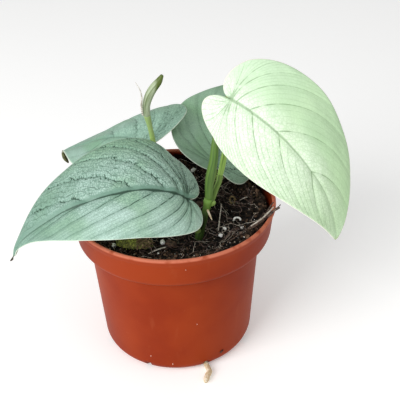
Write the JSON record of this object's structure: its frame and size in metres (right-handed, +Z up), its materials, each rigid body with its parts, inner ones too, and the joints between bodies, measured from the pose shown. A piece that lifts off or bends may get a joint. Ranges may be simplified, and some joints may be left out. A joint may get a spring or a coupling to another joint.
{
  "type": "potted scindapsus plant",
  "caption": "Young trailing aroid with silvery heart-shaped leaves and new shoots, rooted in a small round plastic nursery pot of soil.",
  "frame": {"origin": "on the pot's axis, in the plane of the surface that the pot stands on", "axes": "+Z up along the pot's axis, -Y towards the side that the picture shows, +X to that viewer's right"},
  "size_m": [0.1815, 0.1575, 0.1865],
  "materials": {
    "pot_plastic": "satin",
    "potting_mix": "matte",
    "silver_leaf": "satin",
    "dark_leaf": "satin",
    "pale_leaf": "satin",
    "old_stem": "satin",
    "green_petiole": "satin",
    "young_shoot": "satin",
    "dried_sheath": "matte",
    "pale_root": "matte",
    "moss": "matte",
    "bark": "matte",
    "perlite": "matte",
    "dry_straw": "matte"
  },
  "bodies": {
    "root": {"pot": "pot_plastic", "soil": "potting_mix", "main_stem": "old_stem", "second_stem": "old_stem", "pale_leaf_petiole": "green_petiole", "pale_leaf": "pale_leaf", "front_leaf_petiole": "green_petiole", "front_leaf": "silver_leaf", "back_leaf_petiole": "green_petiole", "back_leaf": "silver_leaf", "middle_leaf_petiole": "green_petiole", "middle_leaf": "dark_leaf", "right_shoot": "green_petiole", "right_shoot_leaf": "young_shoot", "left_shoot": "green_petiole", "left_shoot_leaf": "young_shoot", "left_shoot_sheath": "dried_sheath", "stem_bud": "young_shoot", "aerial_root": "pale_root", "drain_root": "pale_root", "moss_cushion": "moss", "bark_chip_1": "bark", "bark_chip_2": "bark", "bark_chip_3": "bark", "bark_chip_4": "bark", "rim_twig": "bark", "rim_straw": "dry_straw", "grey_stick": "dry_straw", "pale_fibre": "dry_straw", "front_fibre": "dry_straw", "perlite_1": "perlite", "perlite_2": "perlite", "perlite_3": "perlite", "perlite_4": "perlite", "perlite_5": "perlite", "perlite_6": "perlite", "perlite_7": "perlite", "perlite_8": "perlite", "perlite_9": "perlite", "perlite_10": "perlite"}
  },
  "joints": []
}
